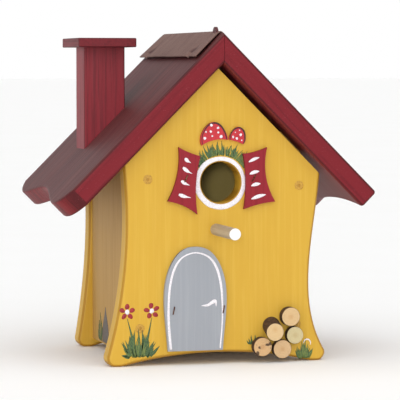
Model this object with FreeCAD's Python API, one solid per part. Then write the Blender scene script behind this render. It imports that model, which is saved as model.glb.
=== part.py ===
import FreeCAD, Part
import math
import os

# Birdhouse: two wavy-sided gabled panels joined by two walls and a floor, under a roof of two thick boards.
# The left board is fixed and carries a chimney. The right board lifts on a soft strip over the ridge.
# Millimetres. +X to the right of someone facing the entrance, +Y to the back, +Z up, feet on Z = 0.
# The sizes are taken from the entrance's centre line; the nodes are written with the footprint centred.

# Driving dimensions ---------------------------------------------------------------------------------------

BODY_DEPTH = 164.0  # outer face of the front panel to outer face of the rear panel
PANEL_THICK = 18.0
WALL_THICK = 18.0
FLOOR_THICK = 18.0
ROOF_THICK = 18.0
WALL_INSET = 3.0  # how far each wall stands in from the panels' waist
WALL_LIFT = 8.0  # underside of the walls above the ground
FLOOR_LIFT = 14.0  # underside of the floor above the ground
FLOOR_PLAY = 0.3  # around the floor board

# The panels' sides, from the entrance's centre line. The outline is sawn by hand, so each side has its own.
LEFT_SIDE = {"shoulder": 85.0, "waist": 82.6, "waist_z": 113.6, "knee": 90.8, "knee_z": 40.4, "toe": 98.5}
RIGHT_SIDE = {"shoulder": 88.5, "waist": 79.2, "waist_z": 80.2, "knee": 83.1, "knee_z": 33.4, "toe": 93.3}
REAR_TOE_IN = 6.0  # the rear panel's toes stop short of the front panel's
TOE_Z = 9.0  # height at which a toe reaches furthest out
TOE_ROUND = 7.0  # from the outermost point of a toe to its flat underside
FOOT_FLAT = 5.0  # flat underside of each foot
ARCH_RISE = 10.0  # of the panels' lower edge between the feet
PANEL_ROUND = 3.0  # on the panels' front and rear arrises

ROOF_PITCH = 45.0  # degrees
RIDGE_Z = 281.0  # top arris where the two boards meet
SLOPE_LENGTH = 206.2  # ridge to the furthest point of an eave, down the slope
FRONT_OVERHANG = 11.5
REAR_OVERHANG = 28.5
ROOF_ROUND = 3.0  # on the roof boards' long arrises
EAVE_ROUND = 2.4  # on the two wavy arrises of an eave
MITRE_GAP = 0.3  # between the two boards at the ridge
SEAT_GAP = 0.2  # between the lifting board and the wall it rests on
VENT_GAP = 4.6  # between the lifting board and the panels' gable edges

# Each eave is a wave: (share of the roof's depth from the front, how far it is cut back from SLOPE_LENGTH).
LEFT_EAVE = [(0.0, 22.7), (0.11, 5.7), (0.24, 6.8), (0.59, 17.3), (0.89, 8.3), (1.0, 18.9)]
RIGHT_EAVE = [(0.0, 13.1), (0.32, 19.8), (0.63, 10.4), (0.86, 0.0), (1.0, 11.0)]

STRIP_THICK = 1.0
STRIP_LEFT = 32.1  # width of the strip on the fixed board
STRIP_RIGHT = 32.9  # width of the strip on the lifting board
STRIP_SETBACK = 12.5  # from the roof's front edge, at the ridge; it is flush at the back
STRIP_SKEW = 8.0  # the strip is cut askew: its left edge comes this much nearer to the front
STRIP_GAP = 0.3  # between the strip's two flanges, where it bends
STRIP_STAPLE_SHARES = (0.10, 0.88)  # of the strip's length from its front end
STRIP_STAPLE_ACROSS = 0.62  # share of a flange's width from the ridge

TAB_LONG = 12.0
TAB_HIGH = 4.0  # above the strip's ridge
TAB_THICK = 2.4
TAB_ASIDE = 0.6  # from the line where the strip bends, on the fixed side
TAB_SETBACK = 3.0  # from the strip's front end
TAB_SHOULDER = 0.62  # share of the tab's height at which its sides turn in

CHIMNEY_WIDE = 36.4
CHIMNEY_DEEP = 33.3
CHIMNEY_TOP = 269.5
CHIMNEY_X = -81.9
CHIMNEY_SETBACK = 112.3  # roof's front edge to the middle of the chimney
CAP_WIDE = 51.3
CAP_DEEP = 69.5
CAP_THICK = 8.0
CAP_SHIFT = -1.1  # the cap is nailed on a little off centre, towards the eave
CHIMNEY_ROUND = 1.0  # on the shaft's upright arrises and all the cap's

HOLE_Z = 154.6
HOLE_RADIUS = 17.5
HOLE_EASE = 0.8  # broken edge of the entrance

PERCH_X = -4.1
PERCH_Z = 114.7
PERCH_RADIUS = 5.0
PERCH_OUT = 59.5  # from the panel's face to the perch's tip
PERCH_IN = 14.0  # glued into the panel
PERCH_ROUND = 0.5  # on the tip

PLY = 3.5  # shutters and door
CAP_PLY = 2.5  # toadstool plaques

DOOR_X = -23.0
DOOR_FOOT = 12.3
DOOR_HIGH = 88.2
DOOR_HALF = 27.1  # at its widest
DOOR_HALF_FOOT = 24.0
DOOR_WIDEST = 37.1  # above the door's foot
DOOR_HAUNCH = (21.3, 73.2)  # half width and height above the foot, where the arch turns in
DOOR_CREST = (13.2, 84.0)
DOOR_STAPLES = (-19.1, 24.6)  # from the door's centre line
DOOR_STAPLE_DROP = 2.5  # below the door's widest line
DOOR_STAPLE_TURN = 78.0  # degrees from level

SCREW_HEAD = 4.0  # head radius
SCREW_SHANK = 2.0
SCREW_LENGTH = 40.0
SCREW_SINK = 0.4  # head below the surface
SCREW_CLEAR = 1.5  # between the chimney screw's head and the wall
SCREW_SLOT = 0.7  # radius of the drive recess as a share of the shank's
UPPER_LEFT_SCREW = (6.9, 3.3)  # from the middle of the wall's end grain, level with the entrance
UPPER_RIGHT_SCREW = (2.3, -3.4)
NAIL_RADIUS = 1.0
NAIL_LENGTH = 40.0
FLOOR_NAIL_SHARES = (0.25, 0.75)  # of the span between the panels
ROOF_NAIL_SLOPES = (40.0, 92.0)  # down the slope from the ridge
CAP_NAIL_SHARE = 0.75  # length of a cap nail as a share of NAIL_LENGTH

STAPLE_WIRE = 0.5  # radius
STAPLE_CROWN = 6.0
STAPLE_LEG = 8.0

# The shutters' corners, clockwise from the top left: x and height above the entrance's centre.
# Then the hollow of each side, from the top one on.
LEFT_SHUTTER = [(-37.6, 30.3), (-18.7, 22.7), (-21.3, -26.7), (-47.2, -15.3)]
LEFT_SHUTTER_HOLLOWS = [0.7, 2.6, 2.0, 3.8]
RIGHT_SHUTTER = [(18.9, 24.3), (40.0, 29.6), (47.3, -16.7), (19.6, -22.8)]
RIGHT_SHUTTER_HOLLOWS = [1.0, 4.8, 1.0, 2.1]

# The toadstools: left tip, left shoulder, crown, right shoulder and right tip, as x and height above the
# entrance's centre. Then the hollow of the underside.
BIG_TOADSTOOL = [(-17.4, 31.6), (-17.2, 42.0), (-6.4, 51.4), (4.1, 41.9), (5.7, 36.1)]
BIG_UNDERSIDE = 2.3
SMALL_TOADSTOOL = [(7.0, 36.1), (8.4, 41.9), (15.3, 47.1), (20.2, 42.1), (19.1, 32.3)]
SMALL_UNDERSIDE = 0.6

# Staples in the shutters: x, height above the entrance's centre, and degrees from level.
SHUTTER_STAPLES = [(-31.3, 3.9, 65.0), (28.2, 3.6, 62.0)]

# The wood pile: x and z of each slice's cut face, its radius, its length, and how far its base rises.
LOGS = [
    (60.2, 39.3, 8.1, 8.0, 0.0),
    (44.9, 26.7, 7.7, 12.0, 4.6),
    (64.2, 23.2, 7.4, 7.0, 0.0),
    (35.3, 14.1, 8.1, 7.5, 0.0),
    (53.0, 11.6, 8.0, 7.0, 0.0),
]
LOG_ROUND = 0.6  # on the rim of each cut face

# Derived values -------------------------------------------------------------------------------------------

PITCH = math.radians(ROOF_PITCH)
COS = math.cos(PITCH)
SIN = math.sin(PITCH)
TAN = math.tan(PITCH)

# Y = 0 is halfway from the perch's tip to the roof's rear edge.
FRONT_Y = -(BODY_DEPTH + REAR_OVERHANG - PERCH_OUT) / 2.0
REAR_Y = FRONT_Y + BODY_DEPTH
INNER_FRONT_Y = FRONT_Y + PANEL_THICK
INNER_REAR_Y = REAR_Y - PANEL_THICK
ROOF_FRONT_Y = FRONT_Y - FRONT_OVERHANG
ROOF_DEPTH = FRONT_OVERHANG + BODY_DEPTH + REAR_OVERHANG
UNDER_RIDGE_Z = RIDGE_Z - ROOF_THICK / COS

LEFT_WALL_X = -(LEFT_SIDE["waist"] - WALL_INSET)  # outer faces of the walls
RIGHT_WALL_X = RIGHT_SIDE["waist"] - WALL_INSET
STRIP_RIDGE_Z = RIDGE_Z + STRIP_THICK / COS
STRIP_FRONT_Y = ROOF_FRONT_Y + STRIP_SETBACK
STRIP_REAR_Y = ROOF_FRONT_Y + ROOF_DEPTH

V = FreeCAD.Vector
BACKWARD = V(0, 1, 0)


# Geometry helpers -----------------------------------------------------------------------------------------

def slope_point(side, along, depth=0.0):
    """A point on a roof board's cross-section: along the slope from the ridge, depth below its top face."""
    x = along * COS - depth * SIN
    z = RIDGE_Z - along * SIN - depth * COS
    return side * x, z


def under_roof(x, gap=0.0):
    """Height of the roof boards' underside over x, less a gap measured square to the slope."""
    return UNDER_RIDGE_Z - abs(x) * TAN - gap / COS


def prism(points, y0, y1):
    """A straight-sided outline of (x, z) points, carried from y0 to y1."""
    wire = Part.makePolygon([V(x, y0, z) for x, z in points + points[:1]])
    return Part.Face(wire).extrude(V(0, y1 - y0, 0))


def box(x0, x1, y0, y1, z0, z1):
    """A box between two corners."""
    return Part.makeBox(x1 - x0, y1 - y0, z1 - z0, V(x0, y0, z0))


def rod(radius, length, start, direction):
    """A round bar."""
    return Part.makeCylinder(radius, length, start, direction)


def spline(points):
    """A smooth edge through a few points."""
    curve = Part.BSplineCurve()
    curve.interpolate(points)
    return curve.toShape()


def arc(start, middle, end):
    """An edge of a circle through three points."""
    return Part.Arc(start, middle, end).toShape()


def line(start, end):
    """A straight edge."""
    return Part.makeLine(start, end)


def solid_of(edges, direction):
    """The solid that a closed loop of edges sweeps along a direction."""
    wire = Part.Wire(Part.__sortEdges__(edges))
    return Part.Face(wire).extrude(direction)


def rounded(shape, radius, wanted):
    """The shape with a fillet on each edge that the test accepts."""
    edges = [edge for edge in shape.Edges if wanted(edge)]
    return shape.makeFillet(radius, edges)


def screw(start, direction, length=SCREW_LENGTH):
    """A countersunk screw: a cone for the head over a plain shank."""
    head = Part.makeCone(SCREW_HEAD, SCREW_SHANK, SCREW_HEAD - SCREW_SHANK, start, direction)
    shank = rod(SCREW_SHANK, length, start, direction)
    slot = rod(SCREW_SHANK * SCREW_SLOT, SCREW_SHANK / 2.0, start, direction)
    return head.fuse(shank).cut(slot)


def screw_seat(start, direction, through):
    """What a countersunk screw takes out of the board it holds: a sunk cone and a clear hole."""
    mouth = start - direction * SCREW_SINK
    sink = rod(SCREW_HEAD, SCREW_SINK, mouth, direction)
    cone = Part.makeCone(SCREW_HEAD, SCREW_SHANK, SCREW_HEAD - SCREW_SHANK, start, direction)
    return sink.fuse(cone).fuse(rod(SCREW_SHANK, through, start, direction))


def staple(middle, along, inward, crown=STAPLE_CROWN, leg=STAPLE_LEG):
    """A wire staple: a crown that lies on the surface and two legs driven inward."""
    half = along * (crown / 2.0)
    out = middle - inward * STAPLE_WIRE
    bar = rod(STAPLE_WIRE, crown, out - half, along)
    wire = bar
    for end in (out - half, out + half):
        wire = wire.fuse(rod(STAPLE_WIRE, leg, end, inward))
        wire = wire.fuse(Part.makeSphere(STAPLE_WIRE, end))
    return wire


def group(shapes):
    """Identical fasteners kept as one set of solids."""
    return Part.makeCompound(shapes)


# Body -----------------------------------------------------------------------------------------------------

def side_points(side, sign, y, toe_in, gap):
    """One side of a panel's outline from the shoulder, under the roof, down to the toe."""
    shoulder = V(sign * side["shoulder"], y, under_roof(side["shoulder"], gap))
    waist = V(sign * side["waist"], y, side["waist_z"])
    knee = V(sign * (side["knee"] - toe_in / 2.0), y, side["knee_z"])
    toe = V(sign * (side["toe"] - toe_in), y, TOE_Z)
    return [shoulder, waist, knee, toe]


def foot_edges(toe, sign):
    """The rounded toe and the flat underside of one foot, and the point where the arch begins."""
    heel = V(toe.x - sign * TOE_ROUND, toe.y, 0)
    # The toe is part of a circle that touches the ground at the heel.
    radius = (TOE_ROUND ** 2 + TOE_Z ** 2) / (2.0 * TOE_Z)
    bulge = heel + V(sign * radius * math.sin(math.pi / 4), 0, radius * (1.0 - math.cos(math.pi / 4)))
    arch_start = V(heel.x - sign * FOOT_FLAT, toe.y, 0)
    return [arc(toe, bulge, heel), line(heel, arch_start)], arch_start


def panel(y, toe_in):
    """A gabled panel: wavy sides, rounded toes, and a lower edge arched between the feet."""
    left = side_points(LEFT_SIDE, -1, y, toe_in, 0.0)
    right = side_points(RIGHT_SIDE, 1, y, toe_in, VENT_GAP)
    left_foot, left_heel = foot_edges(left[-1], -1)
    right_foot, right_heel = foot_edges(right[-1], 1)
    crown = V((left_heel.x + right_heel.x) / 2.0, y, ARCH_RISE)
    # The gable's peak lies where its two edges cross; the right edge is the lower one.
    peak_x = -VENT_GAP / COS / (2.0 * TAN)
    peak = V(peak_x, y, under_roof(peak_x))
    edges = [spline(left), spline(right), line(left[0], peak), line(peak, right[0])]
    edges += left_foot + right_foot
    edges.append(arc(left_heel, crown, right_heel))
    solid = solid_of(edges, BACKWARD * PANEL_THICK)
    return rounded(solid, PANEL_ROUND, is_outline_arris)


def is_outline_arris(edge):
    """True for the arrises along a panel's sides, toes and arch, not for its gable or its corners."""
    box_of = edge.BoundBox
    below_roof = box_of.ZMax < under_roof(LEFT_SIDE["shoulder"]) + 1.0
    return box_of.YLength < 0.01 and below_roof


def screw_places():
    """Where the screws stand on a panel: (x, z), two into the end grain of each wall."""
    left_x = LEFT_WALL_X + WALL_THICK * 0.5
    right_x = RIGHT_WALL_X - WALL_THICK * 0.5
    low = FLOOR_LIFT + FLOOR_THICK
    upper_left = (left_x + UPPER_LEFT_SCREW[0], HOLE_Z + UPPER_LEFT_SCREW[1])
    upper_right = (right_x + UPPER_RIGHT_SCREW[0], HOLE_Z + UPPER_RIGHT_SCREW[1])
    return [upper_left, upper_right, (left_x, low), (right_x, low)]


def entrance():
    """The tool that opens the entrance, with a broken edge on the outside."""
    start = V(0, FRONT_Y - 1.0, HOLE_Z)
    bore = rod(HOLE_RADIUS, PANEL_THICK + 2.0, start, BACKWARD)
    mouth = V(0, FRONT_Y, HOLE_Z)
    ease = Part.makeCone(HOLE_RADIUS + HOLE_EASE, HOLE_RADIUS, HOLE_EASE, mouth, BACKWARD)
    return bore.fuse(ease)


def front_panel():
    """The front panel with its entrance, screw seats and the socket of the perch."""
    solid = panel(FRONT_Y, 0.0).cut(entrance())
    socket = V(PERCH_X, FRONT_Y, PERCH_Z)
    solid = solid.cut(rod(PERCH_RADIUS, PERCH_IN, socket, BACKWARD))
    for x, z in screw_places():
        solid = solid.cut(screw_seat(V(x, FRONT_Y + SCREW_SINK, z), BACKWARD, PANEL_THICK))
    return solid


def rear_panel():
    """The rear panel with its screw seats."""
    solid = panel(INNER_REAR_Y, REAR_TOE_IN)
    for x, z in screw_places():
        solid = solid.cut(screw_seat(V(x, REAR_Y - SCREW_SINK, z), BACKWARD * -1, PANEL_THICK))
    return solid


def front_screws():
    """The screws that hold the front panel to the walls."""
    return group([screw(V(x, FRONT_Y + SCREW_SINK, z), BACKWARD) for x, z in screw_places()])


def rear_screws():
    """The screws that hold the rear panel to the walls."""
    return group([screw(V(x, REAR_Y - SCREW_SINK, z), BACKWARD * -1) for x, z in screw_places()])


def wall(outer, sign, gap):
    """A side wall between the panels, its top bevelled to the roof's pitch."""
    inner = outer - sign * WALL_THICK
    points = [(outer, WALL_LIFT), (outer, under_roof(outer, gap))]
    points += [(inner, under_roof(inner, gap)), (inner, WALL_LIFT)]
    return prism(points, INNER_FRONT_Y, INNER_REAR_Y)


def floor_board():
    """The floor, let in between walls and panels."""
    x0 = LEFT_WALL_X + WALL_THICK + FLOOR_PLAY
    x1 = RIGHT_WALL_X - WALL_THICK - FLOOR_PLAY
    y0 = INNER_FRONT_Y + FLOOR_PLAY
    y1 = INNER_REAR_Y - FLOOR_PLAY
    return box(x0, x1, y0, y1, FLOOR_LIFT, FLOOR_LIFT + FLOOR_THICK)


def floor_nails():
    """Lost-head nails through the walls into the floor's edges, two a side."""
    z = FLOOR_LIFT + FLOOR_THICK / 2.0
    span = INNER_REAR_Y - INNER_FRONT_Y
    nails = []
    for share in FLOOR_NAIL_SHARES:
        y = INNER_FRONT_Y + span * share
        nails.append(rod(NAIL_RADIUS, NAIL_LENGTH, V(LEFT_WALL_X, y, z), V(1, 0, 0)))
        nails.append(rod(NAIL_RADIUS, NAIL_LENGTH, V(RIGHT_WALL_X, y, z), V(-1, 0, 0)))
    return group(nails)


# Roof -----------------------------------------------------------------------------------------------------

def eave_wave(side, cuts, depth):
    """The wavy eave's edge at one depth of the board, front to back."""
    points = []
    for share, cut in cuts:
        x, z = slope_point(side, SLOPE_LENGTH - cut, depth)
        points.append(V(x, ROOF_FRONT_Y + share * ROOF_DEPTH, z))
    return spline(points)


def roof_board(side, cuts, gap):
    """A roof board: mitred upright at the ridge, cut in a wave along the eave."""
    wave = eave_wave(side, cuts, 0.0)
    front = wave.Vertexes[0].Point
    rear = wave.Vertexes[-1].Point
    # The blank starts past the ridge, and the mitre is cut after it is swept to its thickness.
    past = -ROOF_THICK * TAN
    x, z = slope_point(side, past)
    near = V(x, ROOF_FRONT_Y, z)
    far = V(x, ROOF_FRONT_Y + ROOF_DEPTH, z)
    inward = V(-side * SIN, 0, -COS)
    blank = solid_of([wave, line(front, near), line(near, far), line(far, rear)], inward * ROOF_THICK)
    reach = ROOF_THICK * 3.0
    edge_x = side * gap / 2.0
    low_x, high_x = sorted((edge_x, edge_x - side * reach))
    y0 = ROOF_FRONT_Y - 1.0
    y1 = ROOF_FRONT_Y + ROOF_DEPTH + 1.0
    board = blank.cut(box(low_x, high_x, y0, y1, UNDER_RIDGE_Z - reach, RIDGE_Z + reach))
    board = rounded(board, ROOF_ROUND, is_long_arris)
    return rounded(board, EAVE_ROUND, is_wave_arris)


def is_long_arris(edge):
    """True for a board's straight arrises down the slope, front and back."""
    box_of = edge.BoundBox
    return box_of.YLength < 0.01 and box_of.XLength > SLOPE_LENGTH * 0.4


def is_wave_arris(edge):
    """True for the two long wavy arrises of an eave."""
    box_of = edge.BoundBox
    far_out = min(abs(box_of.XMin), abs(box_of.XMax)) > SLOPE_LENGTH * COS * 0.7
    return far_out and box_of.YLength > ROOF_DEPTH * 0.7


def strip_flange(side, width):
    """One flange of the soft ridge strip, cut upright where the strip bends."""
    corner = side * STRIP_GAP / 2.0
    top = STRIP_RIDGE_Z - abs(corner) * TAN
    bottom = RIDGE_Z - abs(corner) * TAN
    points = [(corner, top), slope_point(side, width, -STRIP_THICK)]
    points += [slope_point(side, width), (corner, bottom)]
    flange = prism(points, STRIP_FRONT_Y - STRIP_SKEW, STRIP_REAR_Y)
    return flange.cut(skewed_end(side, width))


def skewed_end(side, width):
    """What the askew cut takes off the strip's front end: nothing at its left edge, more to the right."""
    reach = STRIP_LEFT * COS
    slant = STRIP_SKEW / reach
    far = side * (width + STRIP_THICK * 2.0)
    y0 = STRIP_FRONT_Y - STRIP_SKEW - 1.0
    ends = sorted((side * STRIP_GAP / 4.0, far))
    corners = [V(x, STRIP_FRONT_Y + x * slant, 0) for x in ends]
    outline = [V(ends[0], y0, 0)] + corners + [V(ends[1], y0, 0), V(ends[0], y0, 0)]
    return Part.Face(Part.makePolygon(outline)).extrude(V(0, 0, RIDGE_Z * 2.0))


def strip_staples(side, width):
    """Staples through one flange of the strip: two, square to the ridge."""
    inward = V(-side * SIN, 0, -COS)
    along = V(side * COS, 0, -SIN)
    length = STRIP_REAR_Y - STRIP_FRONT_Y
    wires = []
    for share in STRIP_STAPLE_SHARES:
        x, z = slope_point(side, width * STRIP_STAPLE_ACROSS, -STRIP_THICK)
        wires.append(staple(V(x, STRIP_FRONT_Y + share * length, z), along, inward))
    return group(wires)


def roof_nails():
    """Lost-head nails through the fixed board into the panels' gable edges."""
    inward = V(SIN, 0, -COS)
    nails = []
    for y in (FRONT_Y + PANEL_THICK / 2.0, REAR_Y - PANEL_THICK / 2.0):
        for along in ROOF_NAIL_SLOPES:
            x, z = slope_point(-1, along)
            nails.append(rod(NAIL_RADIUS, NAIL_LENGTH, V(x, y, z), inward))
    return group(nails)


def ridge_tab():
    """A small pointed tab that stands on the strip beside the ridge, near the front."""
    x0 = -TAB_ASIDE - TAB_THICK
    y0 = STRIP_FRONT_Y + TAB_SETBACK
    y1 = y0 + TAB_LONG
    foot = STRIP_RIDGE_Z - abs(x0) * TAN
    tip = V(x0, (y0 + y1) / 2.0, STRIP_RIDGE_Z + TAB_HIGH)
    near = V(x0, y0, foot)
    far = V(x0, y1, foot)
    # The sides bulge out to the shoulder and then run in to the tip.
    shoulder = foot + (tip.z - foot) * TAB_SHOULDER
    bulge = TAB_LONG / 8.0
    rise = arc(near, V(x0, y0 + bulge, shoulder), tip)
    fall = arc(tip, V(x0, y1 - bulge, shoulder), far)
    blade = solid_of([rise, fall, line(far, near)], V(TAB_THICK, 0, 0))
    out = x0 - TAB_THICK
    below = [(out, STRIP_RIDGE_Z - abs(out) * TAN), (0.0, STRIP_RIDGE_Z)]
    below += [(0.0, foot - TAB_LONG), (out, foot - TAB_LONG)]
    return blade.cut(prism(below, y0 - TAB_THICK, y1 + TAB_THICK))


# Chimney --------------------------------------------------------------------------------------------------

def chimney_middle_y():
    """The middle of the chimney, front to back."""
    return ROOF_FRONT_Y + CHIMNEY_SETBACK


def chimney_shaft():
    """The shaft: an upright block, its foot cut to the fixed board's slope."""
    x0 = CHIMNEY_X - CHIMNEY_WIDE / 2.0
    x1 = CHIMNEY_X + CHIMNEY_WIDE / 2.0
    y0 = chimney_middle_y() - CHIMNEY_DEEP / 2.0
    y1 = chimney_middle_y() + CHIMNEY_DEEP / 2.0
    foot = [(x, RIDGE_Z - abs(x) * TAN) for x in (x1, x0)]
    shaft = prism([(x0, CHIMNEY_TOP), (x1, CHIMNEY_TOP)] + foot, y0, y1)
    return rounded(shaft, CHIMNEY_ROUND, is_upright)


def is_upright(edge):
    """True for an upright edge."""
    box_of = edge.BoundBox
    return box_of.XLength < 0.01 and box_of.YLength < 0.01


def chimney_cap():
    """The cap: a thin board that overhangs the shaft all round."""
    x0 = CHIMNEY_X + CAP_SHIFT - CAP_WIDE / 2.0
    y0 = chimney_middle_y() - CAP_DEEP / 2.0
    cap = box(x0, x0 + CAP_WIDE, y0, y0 + CAP_DEEP, CHIMNEY_TOP, CHIMNEY_TOP + CAP_THICK)
    return cap.makeFillet(CHIMNEY_ROUND, cap.Edges)


def chimney_screw():
    """The screw that holds the shaft, driven up from under the fixed board, just inside the wall."""
    outward = V(-SIN, 0, COS)
    x = LEFT_WALL_X + WALL_THICK + SCREW_HEAD * COS + SCREW_CLEAR
    return screw(V(x, chimney_middle_y(), under_roof(x)) + outward * SCREW_SINK, outward)


def cap_nails():
    """Two lost-head nails through the cap into the shaft."""
    top = CHIMNEY_TOP + CAP_THICK
    nails = []
    for offset in (-CHIMNEY_WIDE / 4.0, CHIMNEY_WIDE / 4.0):
        start = V(CHIMNEY_X + offset, chimney_middle_y(), top)
        nails.append(rod(NAIL_RADIUS, NAIL_LENGTH * CAP_NAIL_SHARE, start, V(0, 0, -1)))
    return group(nails)


# Trim on the front panel ----------------------------------------------------------------------------------

def perch():
    """The perch dowel with a broken edge at its tip."""
    length = PERCH_OUT + PERCH_IN
    dowel = rod(PERCH_RADIUS, length, V(PERCH_X, FRONT_Y - PERCH_OUT, PERCH_Z), BACKWARD)
    return rounded(dowel, PERCH_ROUND, lambda edge: edge.BoundBox.YMax < FRONT_Y - PERCH_OUT + 0.01)


def hollow_side(start, end, sag, y):
    """An arc between two (x, z) corners that sags to the right of the way it runs."""
    dx = end[0] - start[0]
    dz = end[1] - start[1]
    length = math.hypot(dx, dz)
    middle_x = (start[0] + end[0]) / 2.0 + sag * dz / length
    middle_z = (start[1] + end[1]) / 2.0 - sag * dx / length
    return arc(V(start[0], y, start[1]), V(middle_x, y, middle_z), V(end[0], y, end[1]))


def plaque(corners, sags, thick):
    """A thin plywood shape on the panel's face: corners clockwise from the top left, one sag per side."""
    y = FRONT_Y - thick
    count = len(corners)
    edges = []
    for index in range(count):
        start = corners[index]
        end = corners[(index + 1) % count]
        if sags[index] == 0.0:
            edges.append(line(V(start[0], y, start[1]), V(end[0], y, end[1])))
        else:
            edges.append(hollow_side(start, end, sags[index], y))
    return solid_of(edges, BACKWARD * thick)


def shutter(corners, hollows):
    """A shutter beside the entrance, its four sides cut hollow."""
    return plaque([(x, HOLE_Z + rise) for x, rise in corners], hollows, PLY)


def door():
    """The door plaque: a pointed arch, widest above its foot."""
    y = FRONT_Y - PLY
    foot = DOOR_FOOT
    top = V(DOOR_X, y, foot + DOOR_HIGH)
    edges = []
    toes = []
    for sign in (-1, 1):
        toe = V(DOOR_X + sign * DOOR_HALF_FOOT, y, foot)
        wide = V(DOOR_X + sign * DOOR_HALF, y, foot + DOOR_WIDEST)
        haunch = V(DOOR_X + sign * DOOR_HAUNCH[0], y, foot + DOOR_HAUNCH[1])
        crest = V(DOOR_X + sign * DOOR_CREST[0], y, foot + DOOR_CREST[1])
        edges.append(spline([toe, wide, haunch, crest, top]))
        toes.append(toe)
    edges.append(line(toes[0], toes[1]))
    return solid_of(edges, BACKWARD * PLY)


def toadstool(outline, hollow):
    """A toadstool's cap: a dome from tip to tip over a hollow underside."""
    y = FRONT_Y - CAP_PLY
    dome = spline([V(x, y, HOLE_Z + rise) for x, rise in outline])
    left, right = outline[0], outline[-1]
    under = hollow_side((right[0], HOLE_Z + right[1]), (left[0], HOLE_Z + left[1]), hollow, y)
    return solid_of([dome, under], BACKWARD * CAP_PLY)


def face_staple(x, z, thick, angle):
    """A staple through a plaque on the front panel, its crown turned by an angle from the X axis."""
    turn = math.radians(angle)
    along = V(math.cos(turn), 0, math.sin(turn))
    return staple(V(x, FRONT_Y - thick, z), along, BACKWARD)


def shutter_staples():
    """One staple in each shutter."""
    return group([face_staple(x, HOLE_Z + rise, PLY, turn) for x, rise, turn in SHUTTER_STAPLES])


def door_staples():
    """Two staples in the door."""
    z = DOOR_FOOT + DOOR_WIDEST - DOOR_STAPLE_DROP
    return group([face_staple(DOOR_X + reach, z, PLY, DOOR_STAPLE_TURN) for reach in DOOR_STAPLES])


def log(x, z, radius, length, rise):
    """A slice of branch glued on by one end; one that rises towards the panel is cut square to the face."""
    face = V(x, FRONT_Y - length, z)
    base = V(x, FRONT_Y, z + rise)
    front = Part.Wire(Part.makeCircle(radius, face, BACKWARD))
    back = Part.Wire(Part.makeCircle(radius, base, BACKWARD))
    slice_of = Part.makeLoft([front, back], True, True)
    return rounded(slice_of, LOG_ROUND, lambda edge: edge.BoundBox.YMax < FRONT_Y - length + 0.01)


# Export ---------------------------------------------------------------------------------------------------

def save(name, shape, shift):
    """Write one node, moved so that the origin is under the middle of the whole object."""
    shape.translated(shift).exportStep("parts/" + name + ".step")


def middle_of_eaves(left, right):
    """X halfway between the furthest points of the two eaves, which don't reach out equally far."""
    low = left.optimalBoundingBox(True, False).XMin
    high = right.optimalBoundingBox(True, False).XMax
    return (low + high) / 2.0


def main():
    """Build and write every node."""
    os.makedirs("parts", exist_ok=True)
    left_board = roof_board(-1, LEFT_EAVE, MITRE_GAP)
    right_board = roof_board(1, RIGHT_EAVE, MITRE_GAP)
    shift = V(-middle_of_eaves(left_board, right_board), 0, 0)
    save("front_panel", front_panel(), shift)
    save("rear_panel", rear_panel(), shift)
    save("front_screws", front_screws(), shift)
    save("rear_screws", rear_screws(), shift)
    save("left_wall", wall(LEFT_WALL_X, -1, 0.0), shift)
    save("right_wall", wall(RIGHT_WALL_X, 1, SEAT_GAP), shift)
    save("floor_board", floor_board(), shift)
    save("floor_nails", floor_nails(), shift)
    save("roof_left", left_board, shift)
    save("roof_right", right_board, shift)
    save("strip_left", strip_flange(-1, STRIP_LEFT), shift)
    save("strip_right", strip_flange(1, STRIP_RIGHT), shift)
    save("strip_left_staples", strip_staples(-1, STRIP_LEFT), shift)
    save("strip_right_staples", strip_staples(1, STRIP_RIGHT), shift)
    save("roof_nails", roof_nails(), shift)
    save("ridge_tab", ridge_tab(), shift)
    save("chimney_shaft", chimney_shaft(), shift)
    save("chimney_cap", chimney_cap(), shift)
    save("chimney_screw", chimney_screw(), shift)
    save("cap_nails", cap_nails(), shift)
    save("perch", perch(), shift)
    save("shutter_left", shutter(LEFT_SHUTTER, LEFT_SHUTTER_HOLLOWS), shift)
    save("shutter_right", shutter(RIGHT_SHUTTER, RIGHT_SHUTTER_HOLLOWS), shift)
    save("shutter_staples", shutter_staples(), shift)
    save("door", door(), shift)
    save("door_staples", door_staples(), shift)
    save("toadstool_big", toadstool(BIG_TOADSTOOL, BIG_UNDERSIDE), shift)
    save("toadstool_small", toadstool(SMALL_TOADSTOOL, SMALL_UNDERSIDE), shift)
    for number, sizes in enumerate(LOGS, start=1):
        save("log_" + str(number), log(*sizes), shift)


main()
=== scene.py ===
"""Looks of a painted birdhouse: its boards, the soft ridge strip and the hand-painted decoration."""

import logging
import math
from dataclasses import dataclass, field
from enum import Enum
from typing import Any

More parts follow.
